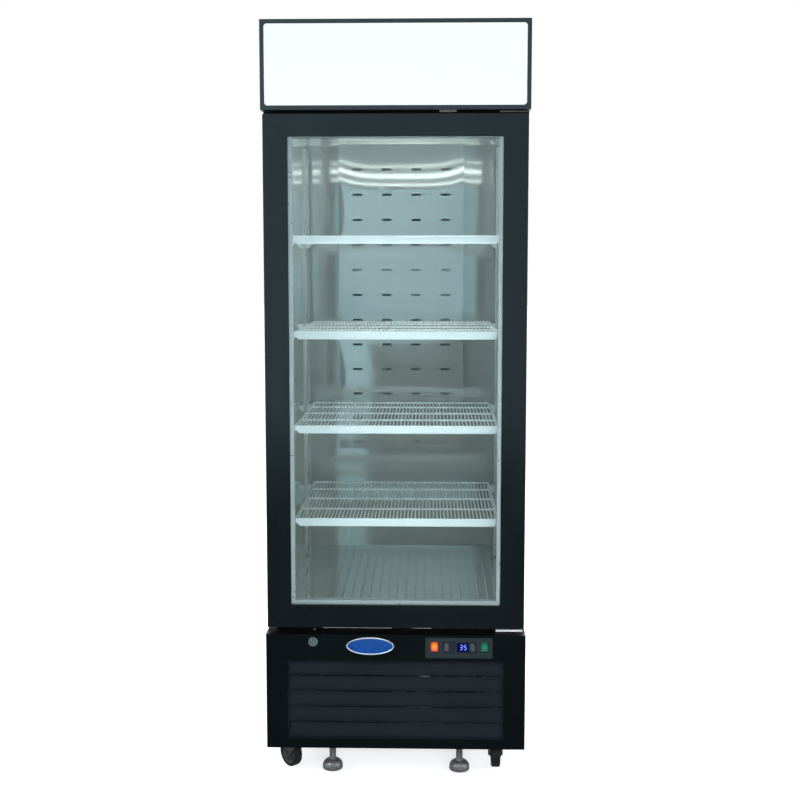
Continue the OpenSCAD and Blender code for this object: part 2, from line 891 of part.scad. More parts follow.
side_panels();
roof_panel();
rear_panel();
foam_insulation();
liner_panels();
front_frame();
machine_frame();
rear_grille();
base_front_panel();
louver_grille();
cable_inlet();
header_housing();
header_diffuser();
led_strips();
air_duct_panel();
evaporator_coil();
fan_motors();
evaporator_fan_blade();
condenser_fan_blade();
condenser_coil();
compressor();
drain_pan();
shelf_pilasters();
shelf_clips();
shelf(0);  // shelf_1
shelf(1);  // shelf_2
shelf(2);  // shelf_3
shelf(3);  // shelf_4
shelf_front_rails();
door_stiles();
door_rails();
glass_outer();
glass_inner();
glass_spacer();
door_gasket();
hinge_bracket_top();
hinge_bracket_bottom();
torsion_closer();
door_switch_strap();
lock_body();
lock_plug();
lock_bolt();
control_bezel();
light_switch();
power_switch();
thermostat();
thermostat_key_left();
thermostat_key_right();
badge_blank();
caster_plates();
caster_fork_left();
caster_fork_right();
rear_caster_brackets();
wheel_front_left();
wheel_front_right();
wheel_rear_left();
wheel_rear_right();
levelling_foot_left();
levelling_foot_right();
panel_screws();
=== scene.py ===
"""Looks for the glass door merchandiser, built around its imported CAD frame. Metres, +Z up, door to -Y."""
import json
import math

import bmesh
import bpy
from mathutils import Matrix, Vector

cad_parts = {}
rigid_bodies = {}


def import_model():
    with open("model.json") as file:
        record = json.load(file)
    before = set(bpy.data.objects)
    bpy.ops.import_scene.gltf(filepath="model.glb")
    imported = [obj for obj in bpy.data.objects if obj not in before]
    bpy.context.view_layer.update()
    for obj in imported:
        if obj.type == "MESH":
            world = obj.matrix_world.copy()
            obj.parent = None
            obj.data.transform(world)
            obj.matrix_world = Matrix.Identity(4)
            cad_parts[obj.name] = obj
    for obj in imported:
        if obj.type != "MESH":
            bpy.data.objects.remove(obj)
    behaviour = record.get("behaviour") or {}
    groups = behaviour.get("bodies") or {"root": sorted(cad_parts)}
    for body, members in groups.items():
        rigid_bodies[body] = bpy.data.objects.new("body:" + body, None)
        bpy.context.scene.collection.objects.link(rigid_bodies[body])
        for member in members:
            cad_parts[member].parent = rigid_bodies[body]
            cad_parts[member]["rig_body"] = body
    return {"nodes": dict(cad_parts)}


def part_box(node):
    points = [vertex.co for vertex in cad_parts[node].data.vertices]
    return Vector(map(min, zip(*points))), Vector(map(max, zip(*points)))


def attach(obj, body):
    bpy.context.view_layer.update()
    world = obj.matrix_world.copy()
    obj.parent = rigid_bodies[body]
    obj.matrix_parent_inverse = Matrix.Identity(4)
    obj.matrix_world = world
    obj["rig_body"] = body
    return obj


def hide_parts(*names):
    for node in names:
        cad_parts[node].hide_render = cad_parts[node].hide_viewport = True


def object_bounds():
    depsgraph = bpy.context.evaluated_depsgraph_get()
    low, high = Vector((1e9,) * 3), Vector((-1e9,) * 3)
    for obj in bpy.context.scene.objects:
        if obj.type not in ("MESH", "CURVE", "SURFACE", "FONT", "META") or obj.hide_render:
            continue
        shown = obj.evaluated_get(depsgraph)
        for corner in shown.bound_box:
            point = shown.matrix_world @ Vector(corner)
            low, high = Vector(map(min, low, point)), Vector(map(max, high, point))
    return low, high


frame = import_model()
cad_low, cad_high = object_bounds()
nodes = frame["nodes"]
MM = 0.001


# ---------------------------------------------------------------- camera, light and floor

def aim(obj, target):
    obj.rotation_euler = (Vector(target) - obj.location).to_track_quat("-Z", "Y").to_euler()


def add_camera():
    """Above the middle of the door, a little right of centre, looking slightly down."""
    data = bpy.data.cameras.new("camera")
    camera = bpy.data.objects.new("camera", data)
    bpy.context.scene.collection.objects.link(camera)
    distance = 3.0
    front = cad_low.y
    data.sensor_width = 36
    data.lens = 52.6
    data.shift_y = -0.040
    camera.location = (0.084, front - distance, 1.397)
    aim(camera, (0.012, front, 1.111))
    bpy.context.scene.camera = camera


def add_area(name, place, target, size, power, colour=(1, 1, 1)):
    data = bpy.data.lights.new(name, "AREA")
    data.shape = "RECTANGLE"
    data.size, data.size_y = size
    data.energy = power
    data.color = colour
    lamp = bpy.data.objects.new(name, data)
    bpy.context.scene.collection.objects.link(lamp)
    lamp.location = place
    aim(lamp, target)
    return lamp


def add_world():
    """A white room. Mirrors see it bright above the door's middle and dark below it."""
    world = bpy.data.worlds.new("room")
    bpy.context.scene.world = world
    world.use_nodes = True
    tree = world.node_tree
    tree.nodes.clear()
    new, link = tree.nodes.new, tree.links.new
    path = new("ShaderNodeLightPath")
    diffuse, mirrored, seen = [new("ShaderNodeBackground") for _ in range(3)]
    diffuse.inputs["Color"].default_value = (0.86, 0.94, 1.0, 1)
    diffuse.inputs["Strength"].default_value = 0.50
    seen.inputs["Color"].default_value = (1, 1, 1, 1)
    seen.inputs["Strength"].default_value = 1.0
    direction = new("ShaderNodeTexCoord")
    parts = new("ShaderNodeSeparateXYZ")
    link(direction.outputs["Generated"], parts.inputs["Vector"])

    def ramp(axis, low, high, start, stop, smooth="SMOOTHSTEP"):
        node = new("ShaderNodeMapRange")
        node.interpolation_type = smooth
        for key, value in (("From Min", low), ("From Max", high), ("To Min", start), ("To Max", stop)):
            node.inputs[key].default_value = value
        link(parts.outputs[axis], node.inputs["Value"])
        return node.outputs["Result"]

    def product(first, second):
        node = new("ShaderNodeMath")
        node.operation = "MULTIPLY"
        link(first, node.inputs[0])
        link(second, node.inputs[1])
        return node.outputs["Value"]

    # what mirrors see ahead of the door, what they see all round, and the share of the second
    ahead = product(ramp("Z", -0.21, -0.11, 0.06, 0.75), ramp("X", -0.3, 0.3, 1.25, 0.55, "LINEAR"))
    around = ramp("Z", -0.5, 0.9, 0.25, 2.2)
    share = ramp("Y", -0.75, -0.35, 0.0, 1.0)
    strength = new("ShaderNodeMix")
    link(share, strength.inputs["Factor"])
    link(ahead, strength.inputs["A"])
    link(around, strength.inputs["B"])
    link(strength.outputs["Result"], mirrored.inputs["Strength"])
    tint = new("ShaderNodeMix")
    tint.data_type = "RGBA"
    link(share, tint.inputs["Factor"])
    colour_a, colour_b, colour_out = tint.inputs[6], tint.inputs[7], tint.outputs[2]
    colour_a.default_value = (0.55, 0.80, 0.92, 1)
    colour_b.default_value = (0.88, 0.94, 1.0, 1)
    link(colour_out, mirrored.inputs["Color"])
    lighting, room = new("ShaderNodeMixShader"), new("ShaderNodeMixShader")
    link(path.outputs["Is Glossy Ray"], lighting.inputs["Fac"])
    link(diffuse.outputs[0], lighting.inputs[1])
    link(mirrored.outputs[0], lighting.inputs[2])
    link(path.outputs["Is Camera Ray"], room.inputs["Fac"])
    link(lighting.outputs[0], room.inputs[1])
    link(seen.outputs[0], room.inputs[2])
    link(room.outputs[0], new("ShaderNodeOutputWorld").inputs["Surface"])


def add_lights():
    """Soft studio lamps, the bar above the door opening, and light let in through the glass."""
    add_area("key", (-2.4, -2.6, 2.9), (0, 0, 1.1), (1.4, 2.0), 55)
    add_area("fill", (2.6, -1.8, 1.8), (0, 0, 0.9), (1.2, 2.2), 24)
    add_area("top", (0, 0.2, 3.8), (0, 0, 0), (2.6, 2.6), 55)
    add_area("back", (0.9, 3.4, 2.4), (0, 0, 1.0), (2.2, 2.2), 55)
    low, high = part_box("liner_panels")
    bar = add_area("ceiling_bar", (0, low.y + 40 * MM, high.z - 45 * MM), (0, 0.20, 0.9),
                   (0.54, 0.02), 2.3, (0.93, 0.99, 1.0))
    through_glass = add_area("through_glass", (0.25, -2.3, 0.75), (0, 0, 0.75), (1.0, 0.9), 38,
                             (0.95, 1.0, 1.0))
    for hidden in (bar, through_glass):
        hidden.visible_camera = False
        hidden.visible_glossy = False


add_camera()
add_world()
add_lights()


# ---------------------------------------------------------------- materials

MATS = {}      # every material by its name, filled by node_material and glass_material


def node_material(name, colour, rough, metal=0.0, coat=0.0, spread=0.08, blotch=6.0,
                  rough_spread=0.10, rough_scale=40.0, bump=0.0, bump_scale=900.0,
                  stretch=(1, 1, 1), ior=1.5):
    """Principled shader whose colour, roughness and surface vary at real scale.

    spread and rough_spread are the shares by which colour and roughness vary, blotch and
    rough_scale their frequencies per metre, bump a height in metres and stretch the grain.
    """
    mat = bpy.data.materials.new(name)
    mat.use_nodes = True
    tree = mat.node_tree
    shader = tree.nodes["Principled BSDF"]
    shader.inputs["Metallic"].default_value = metal
    shader.inputs["Coat Weight"].default_value = coat
    shader.inputs["IOR"].default_value = ior
    place = tree.nodes.new("ShaderNodeTexCoord")
    grain = tree.nodes.new("ShaderNodeMapping")
    grain.inputs["Scale"].default_value = stretch
    tree.links.new(place.outputs["Object"], grain.inputs["Vector"])

    def noise(scale, detail):
        texture = tree.nodes.new("ShaderNodeTexNoise")
        texture.inputs["Scale"].default_value = scale
        texture.inputs["Detail"].default_value = detail
        tree.links.new(grain.outputs["Vector"], texture.inputs["Vector"])
        return texture

    tone = tree.nodes.new("ShaderNodeValToRGB")
    tone.color_ramp.elements[0].position = 0.3
    tone.color_ramp.elements[1].position = 0.7
    tone.color_ramp.elements[0].color = [c * (1 - spread) for c in colour] + [1]
    tone.color_ramp.elements[1].color = [min(1, c * (1 + spread)) for c in colour] + [1]
    tree.links.new(noise(blotch, 3).outputs["Fac"], tone.inputs["Fac"])
    tree.links.new(tone.outputs["Color"], shader.inputs["Base Color"])
    span = tree.nodes.new("ShaderNodeMapRange")
    span.inputs["From Min"].default_value = 0.3
    span.inputs["From Max"].default_value = 0.7
    span.inputs["To Min"].default_value = max(0.02, rough * (1 - rough_spread))
    span.inputs["To Max"].default_value = min(1, rough * (1 + rough_spread))
    tree.links.new(noise(rough_scale, 4).outputs["Fac"], span.inputs["Value"])
    tree.links.new(span.outputs["Result"], shader.inputs["Roughness"])
    if bump:
        raised = tree.nodes.new("ShaderNodeBump")
        raised.inputs["Distance"].default_value = bump
        raised.inputs["Strength"].default_value = 1.0
        tree.links.new(noise(bump_scale, 3).outputs["Fac"], raised.inputs["Height"])
        tree.links.new(raised.outputs["Normal"], shader.inputs["Normal"])
    MATS[name] = mat
    return mat


def glow(mat, colour, strength, vary, scale=9.0):
    """Adds light of its own to a material, uneven by the share vary."""
    tree = mat.node_tree
    shader = tree.nodes["Principled BSDF"]
    place = tree.nodes.new("ShaderNodeTexCoord")
    texture = tree.nodes.new("ShaderNodeTexNoise")
    texture.inputs["Scale"].default_value = scale
    tone = tree.nodes.new("ShaderNodeValToRGB")
    tone.color_ramp.elements[0].color = [c * (1 - vary) for c in colour] + [1]
    tone.color_ramp.elements[1].color = list(colour) + [1]
    tree.links.new(place.outputs["Object"], texture.inputs["Vector"])
    tree.links.new(texture.outputs["Fac"], tone.inputs["Fac"])
    tree.links.new(tone.outputs["Color"], shader.inputs["Emission Color"])
    shader.inputs["Emission Strength"].default_value = strength


def lit_lens(mat, centre, reach, bright, deep, strength):
    """Coloured lens lit from behind: bright at its centre, deep and dim at its edges."""
    tree = mat.node_tree
    shader = tree.nodes["Principled BSDF"]
    place = tree.nodes.new("ShaderNodeTexCoord")
    fit = tree.nodes.new("ShaderNodeMapping")
    fit.vector_type = "TEXTURE"
    fit.inputs["Location"].default_value = centre
    fit.inputs["Scale"].default_value = reach
    ball = tree.nodes.new("ShaderNodeTexGradient")
    ball.gradient_type = "SPHERICAL"
    tone = tree.nodes.new("ShaderNodeValToRGB")
    tone.color_ramp.elements[0].color = list(deep) + [1]
    tone.color_ramp.elements[1].color = list(bright) + [1]
    tone.color_ramp.elements[1].position = 0.75
    tree.links.new(place.outputs["Object"], fit.inputs["Vector"])
    tree.links.new(fit.outputs["Vector"], ball.inputs["Vector"])
    tree.links.new(ball.outputs["Fac"], tone.inputs["Fac"])
    tree.links.new(tone.outputs["Color"], shader.inputs["Emission Color"])
    shader.inputs["Emission Strength"].default_value = strength


def waved_metal(name, colour, rough, wave, lean, bow=0.0, bow_width=1.0, metal=0.9):
    """Thin bright sheet: a fine grain, slow waves, a slight lean and, held at its edges, a bow.

    wave and bow are heights in metres. The sheet leans back by the slope lean. The bow runs
    across bow_width, swells up and down, and leans back most at bow_z.
    """
    bow_z, bow_pitch = 1.66, 0.52
    mat = node_material(name, colour, rough, metal=metal, spread=0.04, blotch=3.0,
                        rough_spread=0.18, rough_scale=25, stretch=(1, 1, 12))
    tree = mat.node_tree
    shader = tree.nodes["Principled BSDF"]
    new, link = tree.nodes.new, tree.links.new
    place = new("ShaderNodeTexCoord")
    slow = new("ShaderNodeMapping")
    slow.inputs["Scale"].default_value = (2.2, 3.0, 5.5)
    texture = new("ShaderNodeTexNoise")
    texture.inputs["Scale"].default_value = 1.0
    texture.inputs["Detail"].default_value = 0.6
    link(place.outputs["Object"], slow.inputs["Vector"])
    link(slow.outputs["Vector"], texture.inputs["Vector"])

    def math_node(kind, first, second=None):
        node = new("ShaderNodeMath")
        node.operation = kind
        for socket, value in zip(node.inputs, (first, second)):
            if value is None:
                continue
            if isinstance(value, float):
                socket.default_value = value
            else:
                link(value, socket)
        return node.outputs["Value"]

    axes = new("ShaderNodeSeparateXYZ")
    link(place.outputs["Object"], axes.inputs["Vector"])
    height = math_node("SUBTRACT", math_node("MULTIPLY", texture.outputs["Fac"], wave),
                       math_node("MULTIPLY", axes.outputs["Z"], lean))
    if bow:
        side = math_node("MULTIPLY", axes.outputs["X"], 2 / bow_width)
        square = math_node("MULTIPLY", side, side)
        fall = math_node("MULTIPLY", square, square)
        held = math_node("MAXIMUM", math_node("SUBTRACT", 1.0, fall), 0.0)
        above = math_node("SUBTRACT", axes.outputs["Z"], bow_z)
        swell = math_node("SINE", math_node("MULTIPLY", above, 2 * math.pi / bow_pitch))
        bowed = math_node("MULTIPLY", math_node("MULTIPLY", held, swell), bow)
        height = math_node("SUBTRACT", height, bowed)
    raised = new("ShaderNodeBump")
    raised.inputs["Distance"].default_value = 1.0
    raised.inputs["Strength"].default_value = 1.0
    link(height, raised.inputs["Height"])
    link(raised.outputs["Normal"], shader.inputs["Normal"])


def glass_material():
    """Clear pane: lets light straight through and mirrors more at low angles."""
    mat = bpy.data.materials.new("glass")
    mat.use_nodes = True
    tree = mat.node_tree
    tree.nodes.clear()
    output = tree.nodes.new("ShaderNodeOutputMaterial")
    mix = tree.nodes.new("ShaderNodeMixShader")
    clear = tree.nodes.new("ShaderNodeBsdfTransparent")
    shine = tree.nodes.new("ShaderNodeBsdfGlossy")
    edge = tree.nodes.new("ShaderNodeFresnel")
    edge.inputs["IOR"].default_value = 1.35
    clear.inputs["Color"].default_value = (0.955, 0.975, 0.97, 1)
    shine.inputs["Color"].default_value = (0.92, 0.97, 1.0, 1)
    smear = tree.nodes.new("ShaderNodeTexNoise")
    smear.inputs["Scale"].default_value = 7
    span = tree.nodes.new("ShaderNodeMapRange")
    span.inputs["To Min"].default_value = 0.01
    span.inputs["To Max"].default_value = 0.07
    place = tree.nodes.new("ShaderNodeTexCoord")
    tree.links.new(place.outputs["Object"], smear.inputs["Vector"])
    tree.links.new(smear.outputs["Fac"], span.inputs["Value"])
    tree.links.new(span.outputs["Result"], shine.inputs["Roughness"])
    outside = tree.nodes.new("ShaderNodeNewGeometry")
    only_front = tree.nodes.new("ShaderNodeMath")
    only_front.operation = "MULTIPLY_ADD"      # nothing is mirrored on the way out of a pane
    only_front.inputs[1].default_value = -1.0
    only_front.inputs[2].default_value = 1.0
    share = tree.nodes.new("ShaderNodeMath")
    share.operation = "MULTIPLY"
    tree.links.new(outside.outputs["Backfacing"], only_front.inputs[0])
    tree.links.new(only_front.outputs["Value"], share.inputs[0])
    tree.links.new(edge.outputs["Fac"], share.inputs[1])
    tree.links.new(share.outputs["Value"], mix.inputs["Fac"])
    tree.links.new(clear.outputs[0], mix.inputs[1])
    tree.links.new(shine.outputs[0], mix.inputs[2])
    tree.links.new(mix.outputs[0], output.inputs["Surface"])
    MATS["glass"] = mat


def middle(node):
    """The middle of a CAD node's box."""
    low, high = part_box(node)
    return (low + high) / 2


ORANGE_AT, GREEN_AT = middle("light_switch"), middle("power_switch")
LENS_REACH = (11 * MM, 20 * MM, 13.5 * MM)

node_material("case_steel", (0.0034, 0.0046, 0.0052), 0.34, spread=0.12, bump=0.000002, bump_scale=700,
              rough_spread=0.05, rough_scale=9)
node_material("base_steel", (0.0012, 0.0026, 0.0032), 0.36, spread=0.12, ior=1.24, bump=0.000002,
              bump_scale=700, rough_spread=0.05, rough_scale=9)
node_material("front_trim", (0.005, 0.006, 0.007), 0.42, bump=0.00002)
node_material("foam", (0.82, 0.74, 0.52), 0.9, bump=0.0006, bump_scale=260)
waved_metal("liner", (0.70, 0.72, 0.71), 0.08, 0.0012, 0.026, metal=0.66)
waved_metal("duct", (0.69, 0.70, 0.69), 0.07, 0.0012, 0.026, 0.0021, 0.39, metal=0.68)
node_material("galvanised", (0.46, 0.48, 0.49), 0.42, metal=0.85, spread=0.22, blotch=70,
              rough_scale=120, bump=0.00001)
node_material("grille", (0.003, 0.0055, 0.008), 0.42, spread=0.15, ior=1.27, bump=0.000006,
              bump_scale=800)
node_material("header_case", (0.014, 0.021, 0.024), 0.30, coat=0.1, rough_spread=0.08, rough_scale=10,
              bump=0.000002, bump_scale=700)
glow(node_material("diffuser", (0.30, 0.31, 0.32), 0.45, spread=0.01, rough_spread=0.03, rough_scale=4),
     (0.93, 0.985, 1.0), 0.52, 0.012, 2.0)
glow(node_material("led", (0.95, 0.97, 1.0), 0.4, spread=0.02), (0.93, 1.0, 0.98), 3.6, 0.15, 60.0)
node_material("fins", (0.62, 0.64, 0.65), 0.36, metal=0.9, spread=0.12, blotch=120, rough_scale=400)
node_material("copper", (0.72, 0.36, 0.20), 0.34, metal=0.95, spread=0.2, blotch=50)
node_material("dark_plastic", (0.022, 0.023, 0.025), 0.46, bump=0.00004, bump_scale=1200)
node_material("compressor_paint", (0.012, 0.012, 0.013), 0.3, coat=0.3, spread=0.25, bump=0.00006,
              bump_scale=500)
node_material("shelf_wire", (0.86, 0.88, 0.89), 0.32, coat=0.25, spread=0.05, blotch=40, bump=0.00003,
              bump_scale=700)
node_material("rail_plastic", (0.66, 0.70, 0.75), 0.30, spread=0.04, blotch=12, bump=0.00001,
              stretch=(0.2, 6, 6))
node_material("door_frame", (0.0035, 0.0055, 0.0065), 0.11, coat=0.15, spread=0.2, rough_spread=0.45,
              rough_scale=14, bump=0.000006, bump_scale=500, stretch=(1, 1, 0.25))
node_material("spacer", (0.42, 0.47, 0.48), 0.30, metal=0.5, spread=0.10, blotch=240, bump=0.00008,
              bump_scale=420)
node_material("gasket", (0.020, 0.020, 0.021), 0.62, spread=0.2, bump=0.00005, bump_scale=600)
node_material("caster_steel", (0.055, 0.055, 0.053), 0.40, metal=0.4, spread=0.25, blotch=70,
              rough_scale=260, bump=0.00001)
node_material("dull_steel", (0.12, 0.125, 0.125), 0.40, metal=0.5, spread=0.15, blotch=60,
              rough_scale=260, bump=0.00001)
node_material("bracket_steel", (0.56, 0.57, 0.58), 0.36, metal=0.45, spread=0.10, blotch=60,
              rough_scale=260, stretch=(0.3, 2, 2), bump=0.00001)
node_material("chrome", (0.10, 0.135, 0.14), 0.32, metal=0.5, spread=0.15, rough_spread=0.5,
              rough_scale=200)
node_material("bezel_plastic", (0.010, 0.016, 0.018), 0.34, spread=0.1, ior=1.42, bump=0.00003,
              bump_scale=1500)
lit_lens(node_material("switch_orange", (0.12, 0.012, 0.004), 0.3, coat=0.1), ORANGE_AT, LENS_REACH,
         (1.0, 0.34, 0.004), (0.30, 0.004, 0.002), 1.0)
lit_lens(node_material("switch_green", (0.002, 0.03, 0.018), 0.3, coat=0.1), GREEN_AT, LENS_REACH,
         (0.0, 0.24, 0.11), (0.0, 0.015, 0.010), 0.7)
node_material("display", (0.010, 0.013, 0.020), 0.16, coat=0.5, spread=0.2, rough_spread=0.3)
glow(node_material("window", (0.004, 0.006, 0.02), 0.2, coat=0.3), (0.01, 0.02, 0.30), 0.5, 0.3, 90.0)
glow(node_material("digit", (0.1, 0.15, 0.6), 0.4), (0.12, 0.20, 1.0), 1.3, 0.2, 300.0)
node_material("key_plastic", (0.030, 0.036, 0.038), 0.5, bump=0.00004, bump_scale=1300)
node_material("badge", (0.001, 0.036, 0.17), 0.30, coat=0.1, spread=0.12, blotch=30, rough_spread=0.05,
              ior=1.3)
node_material("badge_rim", (0.62, 0.68, 0.74), 0.24, metal=0.7, spread=0.08, blotch=80)
node_material("wheel_rubber", (0.008, 0.008, 0.008), 0.5, spread=0.25, ior=1.4, blotch=80, bump=0.00008,
              bump_scale=500)
node_material("wheel_hub", (0.028, 0.029, 0.030), 0.42, spread=0.15, bump=0.00003)
node_material("foot_metal", (0.15, 0.15, 0.148), 0.38, metal=0.6, spread=0.30, blotch=90,
              rough_scale=200, bump=0.00002)
node_material("screw", (0.62, 0.63, 0.65), 0.28, metal=0.6, spread=0.08, blotch=300)
glass_material()


# ---------------------------------------------------------------- mesh helpers

def put(name, mesh, body, mat, replaced=(), smooth=35):
    """Makes a piece from a mesh, lets it ride on a body and stand for CAD nodes."""
    piece = bpy.data.objects.new(name, mesh)
    bpy.context.scene.collection.objects.link(piece)
    mesh.materials.append(MATS[mat])
    mesh.polygons.foreach_set("use_smooth", [True] * len(mesh.polygons))
    mesh.set_sharp_from_angle(angle=math.radians(smooth))
    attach(piece, body)
    if replaced:
        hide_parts(*replaced)
    return piece


def to_mesh(name, bm):
    bmesh.ops.recalc_face_normals(bm, faces=bm.faces)
    mesh = bpy.data.meshes.new(name)
    bm.to_mesh(mesh)
    bm.free()
    return mesh


def add_bevel(piece, width, segments=2, angle=35):
    bevel = piece.modifiers.new("edges", "BEVEL")
    bevel.width = width
    bevel.segments = segments
    bevel.limit_method = "ANGLE"
    bevel.angle_limit = math.radians(angle)
    bevel.harden_normals = True
    return piece


def dress(node, mat):
    """Gives a CAD node that is shown as it is its material."""
    nodes[node].data.materials.clear()
    nodes[node].data.materials.append(MATS[mat])


def refine(node, mat, bevel, segments=2):
    """The CAD node's own shape, welded into clean faces, with its edges broken by bevel in mm."""
    bm = bmesh.new()
    bm.from_mesh(nodes[node].data)
    bmesh.ops.remove_doubles(bm, verts=bm.verts, dist=1e-6)
    bmesh.ops.dissolve_limit(bm, angle_limit=math.radians(0.4), verts=bm.verts, edges=bm.edges)
    name, body = node + "_finish", nodes[node]["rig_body"]
    piece = put(name, to_mesh(name, bm), body, mat, (node,))
    return add_bevel(piece, bevel * MM, segments)


def block(bm, low, high):
    """A box between two corners."""
    made = bmesh.ops.create_cube(bm, size=1)["verts"]
    low, high = Vector(low), Vector(high)
    size = high - low
    for v in made:
        v.co = Vector([low[i] + (v.co[i] + 0.5) * size[i] for i in range(3)])
    return made


def tube(bm, path, radius, sides=10):
    """A round bar along a path of points."""
    rings = []
    for i, p in enumerate(path):
        before, after = path[max(i - 1, 0)], path[min(i + 1, len(path) - 1)]
        turn = (Vector(after) - Vector(before)).to_track_quat("Z", "Y")
        ring = []
        for k in range(sides):
            a = 2 * math.pi * k / sides
            ring.append(bm.verts.new(Vector(p) + turn @ Vector((radius * math.cos(a),
                                                              radius * math.sin(a), 0))))
        rings.append(ring)
    for one, two in zip(rings, rings[1:]):
        for k in range(sides):
            n = (k + 1) % sides
            bm.faces.new((one[k], one[n], two[n], two[k]))
    bm.faces.new(rings[0][::-1])
    bm.faces.new(rings[-1])


def lathe(bm, profile, steps, matrix):
    """Turns (radius, height) points about Z, then places the result with matrix."""
    axis = 1e-7      # points nearer than this are on the axis
    columns = []
    for k in range(steps):
        a = 2 * math.pi * k / steps
        columns.append([None if r < axis else
                        bm.verts.new(matrix @ Vector((r * math.cos(a), r * math.sin(a), z)))
                        for r, z in profile])
    poles = {i: bm.verts.new(matrix @ Vector((0, 0, z)))
             for i, (r, z) in enumerate(profile) if r < axis}
    for k in range(steps):
        one, two = columns[k], columns[(k + 1) % steps]
        for i in range(len(profile) - 1):
            corners = [one[i] or poles[i], two[i] or poles[i],
                       two[i + 1] or poles[i + 1], one[i + 1] or poles[i + 1]]
            unique = list(dict.fromkeys(corners))
            if len(unique) > 2:
                bm.faces.new(unique)


def sweep_x(bm, profile, x0, x1, skew=None):
    """Extrudes a closed (y, z) profile along X. skew(z) moves each end in by that much."""
    skew = skew or (lambda z: 0.0)
    left = [bm.verts.new((x0 + skew(z), y, z)) for y, z in profile]
    right = [bm.verts.new((x1 - skew(z), y, z)) for y, z in profile]
    count = len(profile)
    for k in range(count):
        n = (k + 1) % count
        bm.faces.new((left[k], left[n], right[n], right[k]))
    bm.faces.new(left[::-1])
    bm.faces.new(right)


def frame_points(low, high, inset, y):
    """The four corners of a front view rectangle, inset all round, at depth y."""
    x0, x1, z0, z1 = low[0] + inset, high[0] - inset, low[1] + inset, high[1] - inset
    return [(x0, y, z0), (x1, y, z0), (x1, y, z1), (x0, y, z1)]


def ring_sweep(bm, low, high, profile):
    """Carries a closed (inset, y) profile round a rectangle with mitred corners."""
    loops = [[bm.verts.new(p) for p in frame_points(low, high, inset, y)]
             for inset, y in profile]
    for one, two in zip(loops, loops[1:] + loops[:1]):
        for k in range(4):
            n = (k + 1) % 4
            bm.faces.new((one[k], one[n], two[n], two[k]))


# ---------------------------------------------------------------- pieces

def cabinet():
    refine("side_panels", "case_steel", 0.5)
    refine("roof_panel", "case_steel", 0.5)
    dress("foam_insulation", "foam")
    refine("liner_panels", "liner", 0.2)
    refine("front_frame", "front_trim", 1.0)
    refine("machine_frame", "galvanised", 0.5)
    refine("rear_grille", "case_steel", 0.3)
    refine("base_front_panel", "base_steel", 0.6, 3)
    refine("cable_inlet", "dark_plastic", 0.5)
    refine("header_housing", "header_case", 0.7, 3)
    refine("header_diffuser", "diffuser", 0.5)
    refine("air_duct_panel", "duct", 0.25)
    refine("shelf_pilasters", "bracket_steel", 0.3)
    refine("shelf_clips", "rail_plastic", 0.5)


def rear_panel():
    """Outer back with shallow upright channels pressed into it."""
    low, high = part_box("rear_panel")
    pitch, half_mouth, half_bed = 140 * MM, 14 * MM, 11 * MM
    depth, sheet = 0.8 * MM, 0.39 * MM
    face = [(low.x, high.y)]
    for n in (-1.5, -0.5, 0.5, 1.5):
        x = n * pitch
        face += [(x - half_mouth, high.y), (x - half_bed, high.y - depth),
                 (x + half_bed, high.y - depth), (x + half_mouth, high.y)]
    face.append((high.x, high.y))
    outline = face + [(x, y - sheet) for x, y in reversed(face)]
    bm = bmesh.new()
    bottom = [bm.verts.new((x, y, low.z)) for x, y in outline]
    top = [bm.verts.new((x, y, high.z)) for x, y in outline]
    count = len(outline)
    for k in range(count):
        n = (k + 1) % count
        bm.faces.new((bottom[k], bottom[n], top[n], top[k]))
    half = count // 2
    for k in range(half - 1):
        a, b, c, d = k, k + 1, count - 2 - k, count - 1 - k
        bm.faces.new((bottom[a], bottom[d], bottom[c], bottom[b]))
        bm.faces.new((top[a], top[b], top[c], top[d]))
    put("rear_panel_pressed", to_mesh("rear_panel_pressed", bm), "cabinet", "case_steel",
        ("rear_panel",), 20)


def louvers():
    """Overhanging slats with rolled edges in a thin frame."""
    low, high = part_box("louver_grille")
    slats, steps = 5, 8
    lip, foot, reach, thick = 4 * MM, 3 * MM, 10 * MM, 1.5 * MM
    tuck = 0.3 * MM      # how far a slat's ends run into the frame
    pitch = (high.z - low.z + 0.6 * MM) / slats
    rise = pitch - 2 * foot
    bm = bmesh.new()
    ring_sweep(bm, (low.x, low.z), (high.x, high.z),
               [(0, low.y), (lip, low.y), (lip, high.y), (0, high.y)])
    for i in range(slats):
        z = low.z + foot + i * pitch
        curve = [(low.y + reach * (k / steps) ** 1.5, z + 1.2 * MM + rise * k / steps)
                 for k in range(steps + 1)]
        profile = curve + [(y + thick, height - 0.7 * MM) for y, height in reversed(curve)]
        profile += [(low.y + 1.4 * MM, z - 0.2 * MM), (low.y + 0.5 * MM, z)]
        sweep_x(bm, profile, low.x + lip - tuck, high.x - lip + tuck)
    piece = put("louver_slats", to_mesh("louver_slats", bm), "cabinet", "grille",
                ("louver_grille",), 40)
    add_bevel(piece, 0.3 * MM, 2, 50)


def opal_lens(bm, half, y, z, radius, side):
    """Half-round lens, half long each way along X, bulging towards side times +Y from the plane y."""
    steps = 10
    left, right = [[bm.verts.new((x, y + side * radius * math.sin(math.pi * k / steps),
                                  z - radius * math.cos(math.pi * k / steps)))
                    for k in range(steps + 1)] for x in (-half, half)]
    for k in range(steps):
        bm.faces.new((left[k], left[k + 1], right[k + 1], right[k]))
    bm.faces.new((left[-1], left[0], right[0], right[-1]))
    bm.faces.new(left)
    bm.faces.new(right[::-1])


